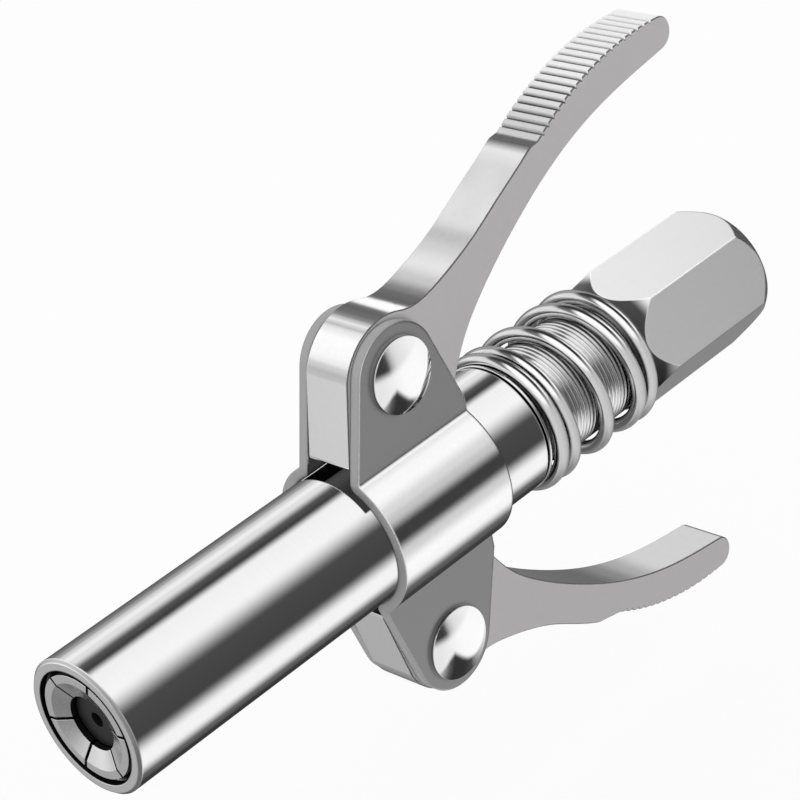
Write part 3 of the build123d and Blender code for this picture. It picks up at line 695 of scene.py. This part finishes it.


# cold-headed rivet, nickel-plated: the dome as bright as the die, painted shade on the rim's wall,
# darker towards its top. The dome's normal points away from the centre of its sphere.
def headedRivetNickel(name, up):
    material, tree = startMaterial(name)
    surface = readSurface(tree, rivetLook["edge"])
    axisX, axisZ = rivetLook["axis"]
    domeEnd, wallTop = rivetLook["domeEnd"], rivetLook["wall"]
    fromAxis = addNode(tree, "ShaderNodeVectorMath", {
        0: surface["place"], 1: (axisX, 0, up * axisZ)}, operation="SUBTRACT")
    apart = addNode(tree, "ShaderNodeSeparateXYZ", {0: fromAxis})
    half = addNode(tree, "ShaderNodeMath", {0: apart.outputs["Y"]}, operation="SIGN")
    outward = addNode(tree, "ShaderNodeMath", {
        0: half, 1: rivetLook["domeDepth"], 2: apart.outputs["Y"]}, operation="MULTIPLY_ADD")
    fromCentre = addNode(tree, "ShaderNodeCombineXYZ", {
        0: apart.outputs["X"], 1: outward, 2: apart.outputs["Z"]})
    domed = addNode(tree, "ShaderNodeVectorTransform", {0: fromCentre}, vector_type="NORMAL",
                    convert_from="OBJECT", convert_to="WORLD")
    flat = addNode(tree, "ShaderNodeVectorMath", {0: fromAxis, 1: (1, 0, 1)}, operation="MULTIPLY")
    spread = addNode(tree, "ShaderNodeVectorMath", {0: flat}, operation="LENGTH")
    height = addNode(tree, "ShaderNodeMath", {0: apart.outputs["Y"]}, operation="ABSOLUTE")
    dome = maskOf(tree, (spread.outputs["Value"], domeEnd + rivetLook["domeFade"], domeEnd),
                  (height, wallTop, wallTop + rivetLook["wallFade"]))
    wall = maskOf(tree, (height, wallTop, wallTop - finishFade))
    unit = addNode(tree, "ShaderNodeVectorMath", {0: domed}, operation="NORMALIZE")
    surface["normal"] = addNode(tree, "ShaderNodeMix", {
        0: dome, 4: surface["normal"], 5: unit}, data_type="VECTOR").outputs[1]
    # painted shade: the rim's wall goes darker from its foot to its top
    rise = maskOf(tree, (height, rivetLook["foot"], wallTop))
    wallShade = addNode(tree, "ShaderNodeMix", {
        0: rise, 6: rivetLook["wallFoot"], 7: rivetLook["wallTop"]}, data_type="RGBA")
    look = layLook(tree, bright, wall, {
        "colour": wallShade.outputs[2], "roughness": rivetLook["wallRoughness"]})
    shader = finishMetal(tree, surface, look, rivetLook["finish"])
    dullMetal(tree, shader, wall, rivetLook["wallMetal"])
    return material


wireLook = {
    "skin": {"colour": nickelColour, "roughness": 0.05},
    "edge": 0.1 * mm,
    "finish": {"grain": (9.0, 0.5, 0.5), "spread": 0.02, "relief": 0.0005 * mm, "mottle": 0.06,
               "reach": 0.7 * mm},
}


# hard-drawn spring wire, nickel-plated: die lines run along the wire, painted shade between coils
def drawnSpringWire():
    material, tree = startMaterial("drawnSpringWire")
    surface = readSurface(tree, wireLook["edge"])
    finishMetal(tree, surface, wireLook["skin"], wireLook["finish"])
    return material


hexLook = {
    "flat": {"colour": linearColour("#e2e2e2"), "roughness": 0.38},
    "shadowed": {"colour": linearColour("#454545"), "roughness": 0.3},
    "bright": {"colour": linearColour("#f0f0f0"), "roughness": 0.3},
    "front": 81.0 * mm, "innerDepth": 1.4 * mm, "coneEnd": 84.4 * mm,
    "coneFacing": (-.15, -.28), "innerFacing": (-.12, -.25),
    "bore": 5.2 * mm,
    "edge": 0.3 * mm,
    "finish": {"grain": (0.5, 3.0, 3.0), "spread": 0.03, "relief": 0.0012 * mm, "mottle": 0.03,
               "reach": 0.5 * mm},
}


# hexagon steel bar, turned at its ends and nickel-plated: the drawn flats satin, the chamfers turned, the
# edges worn and given a painted highlight, the bore in painted shade
def drawnHexNickel():
    material, tree = startMaterial("drawnHexNickel")
    surface = readSurface(tree, hexLook["edge"])
    cone = maskOf(tree, (surface["facingX"], *hexLook["coneFacing"]))
    inner = maskOf(tree, (surface["facingX"], *hexLook["innerFacing"]),
                   (surface["x"], hexLook["coneEnd"], hexLook["front"] + hexLook["innerDepth"]))
    bore = maskOf(tree, (surface["radius"], hexLook["bore"], hexLook["bore"] - finishFade))
    look = layLook(tree, hexLook["flat"], cone, hexLook["bright"])
    look = layLook(tree, look, inner, hexLook["shadowed"])
    look = layLook(tree, look, surface["edge"], wornEdgeAndHighlight)
    look = layLook(tree, look, bore, paintedRecessShade)
    finishMetal(tree, surface, look, hexLook["finish"])
    return material


coreLook = {
    "hidden": 61.0 * mm,      # ahead of this the core lies within the sleeve and is painted in shade
    "hiddenFade": 0.4 * mm,
    "toolMarks": 0.5,         # spacing of the tool marks in millimetres, coarser than real ones to show
    "markDepth": 0.004 * mm,
    "waveTurn": 0.314,        # a wave texture's own period
    "edge": 0.08 * mm,
    "finish": {"grain": (2.0, 2.0, 2.0), "spread": 0.04, "relief": 0.001 * mm, "mottle": 0.08,
               "reach": 1.6 * mm},
}


# turned and nickel-plated steel: fine rings from the lathe tool round the axis, painted shade where it lies
# within the sleeve
def turnedNickelSteel(name, colour, roughness):
    material, tree = startMaterial(name)
    surface = readSurface(tree, coreLook["edge"])
    hidden = maskOf(tree, (surface["x"], coreLook["hidden"] + coreLook["hiddenFade"], coreLook["hidden"]))
    look = layLook(tree, {"colour": colour, "roughness": roughness}, hidden, paintedRecessShade)
    shader = finishMetal(tree, surface, look, coreLook["finish"])
    bump = shader.inputs["Normal"].links[0].from_node
    spread = addNode(tree, "ShaderNodeMapping", {
        "Vector": surface["place"], "Scale": [coreLook["waveTurn"] / coreLook["toolMarks"] / mm] * 3})
    rings = addNode(tree, "ShaderNodeTexWave", {
        "Vector": spread, "Scale": 1.0, "Distortion": 0.0}, bands_direction="X")
    marks = addNode(tree, "ShaderNodeBump", {
        "Strength": 1.0, "Distance": coreLook["markDepth"], "Height": rings.outputs["Fac"],
        "Normal": bump})
    tree.links.new(marks.outputs[0], shader.inputs["Normal"])
    return material


jawLook = {
    "cone": {"colour": linearColour("#dedede"), "roughness": 0.2}, "slitFacing": (-.25, -.1),
    "edge": 0.1 * mm,
    "finish": {"grain": (3.0, 3.0, 3.0), "spread": 0.05, "relief": 0.001 * mm, "mottle": 0.05,
               "reach": 0.35 * mm},
}


# case-hardened steel, ground and plated: jaws bright on their cone, painted shade in their slits
def hardenedJawSteel():
    material, tree = startMaterial("hardenedJawSteel")
    surface = readSurface(tree, jawLook["edge"])
    slit = maskOf(tree, (surface["facingX"], *jawLook["slitFacing"]))
    look = layLook(tree, jawLook["cone"], slit, paintedRecessShade)
    finishMetal(tree, surface, look, jawLook["finish"])
    return material


ballLook = {
    "skin": {"colour": linearColour("#dcdcde"), "roughness": 0.05},
    "edge": 0.05 * mm,
    "finish": {"grain": (4.0, 4.0, 4.0), "spread": 0.015, "relief": 0.0003 * mm, "mottle": 0.02,
               "reach": 0.4 * mm},
}


# through-hardened bearing ball, lapped: a clean mirror
def lappedBallSteel():
    material, tree = startMaterial("lappedBallSteel")
    surface = readSurface(tree, ballLook["edge"])
    finishMetal(tree, surface, ballLook["skin"], ballLook["finish"])
    return material


seatLook = {
    "skin": {"colour": linearColour("#d9b968"), "roughness": 0.24},
    "edge": 0.08 * mm,
    "finish": {"grain": (8.0, 0.6, 0.6), "spread": 0.07, "relief": 0.002 * mm, "mottle": 0.18,
               "reach": 0.5 * mm},
}


# free-cutting brass, turned: yellow metal with tool rings and a duller tarnish in patches
def turnedBrass():
    material, tree = startMaterial("turnedBrass")
    surface = readSurface(tree, seatLook["edge"])
    finishMetal(tree, surface, seatLook["skin"], seatLook["finish"])
    return material


rubberLook = {
    "dark": linearColour("#0b0b0b"), "dusty": linearColour("#181818"),
    "smoothest": 0.42, "roughest": 0.62,
    "grain": 9.0,             # grains in a millimetre
    "relief": 0.004 * mm,
    "edge": 0.1 * mm,
}


# moulded black nitrile rubber: near black, a soft sheen, a fine even grain from the mould
def mouldedNitrile():
    material, tree = startMaterial("mouldedNitrile")
    surface = readSurface(tree, rubberLook["edge"])
    scale = addNode(tree, "ShaderNodeMapping", {
        "Vector": surface["place"], "Scale": [rubberLook["grain"] / mm] * 3})
    noise = addNode(tree, "ShaderNodeTexNoise", {"Vector": scale, "Scale": 1.0, "Detail": 3.0})
    colour = addNode(tree, "ShaderNodeMix", {
        0: noise, 6: rubberLook["dark"], 7: rubberLook["dusty"]}, data_type="RGBA")
    roughness = addNode(tree, "ShaderNodeMapRange", {
        "Value": noise, "To Min": rubberLook["smoothest"], "To Max": rubberLook["roughest"]})
    bump = addNode(tree, "ShaderNodeBump", {
        "Strength": 1.0, "Distance": rubberLook["relief"], "Height": noise, "Normal": surface["normal"]})
    shader = addNode(tree, "ShaderNodeBsdfPrincipled", {
        "Base Color": colour.outputs[2], "Roughness": roughness, "Normal": bump})
    addNode(tree, "ShaderNodeOutputMaterial", {"Surface": shader})
    return material


makeCamera()
makeWorld()
makeFloor()

nickel = brightNickelPlate()
sheet = pressedNickelSheet()
wire = drawnSpringWire()
turned = turnedNickelSteel("turnedNickelSteel", nickelColour, 0.14)
jawSteel = hardenedJawSteel()
rubber = mouldedNitrile()
hexNickel = drawnHexNickel()
finishes = {
    "outer_sleeve": nickel, "spring_washer": nickel, "near_side_plate": sheet, "far_side_plate": sheet,
    "upper_rivet": headedRivetNickel("headedRivetNickelUpper", 1),
    "lower_rivet": headedRivetNickel("headedRivetNickelLower", -1), "main_spring": wire,
    "check_spring": wire, "seal_spring": wire, "core_tube": turned, "hex_adapter": hexNickel,
    "seal_piston": turnedNickelSteel("turnedPistonSteel", linearColour("#cfcfcf"), 0.2),
    "valve_seat": turnedBrass(), "check_ball": lappedBallSteel(),
    "rubber_seal": rubber, "piston_o_ring": rubber, "jaw_ring": rubber,
    "upper_lever": forgedSatinNickel("forgedSatinNickelUpper", 1),
    "lower_lever": forgedSatinNickel("forgedSatinNickelLower", -1),
}
finishes.update({f"jaw_{count}": jawSteel for count in range(1, 7)})
for name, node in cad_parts.items():
    node.data.materials.clear()
    node.data.materials.append(finishes[name])
    # polished faces close by don't mirror the levers, plates and rivets, as in soft studio light
    node.visible_glossy = not name.endswith(("_lever", "_plate", "_rivet"))
print("finishes laid on")

threads = [
    makeThread("core_thread", coreThread, "core", turned),
    makeThread("inlet_thread_ridges", inletThread, "core", hexNickel),
]
print("threads cut")
coils = [makeSpring(node, spring, wire) for node, spring in springs.items()]
print("springs wound")
makeDomes(threads + coils)

bpy.context.scene.view_settings.view_transform = "Standard"
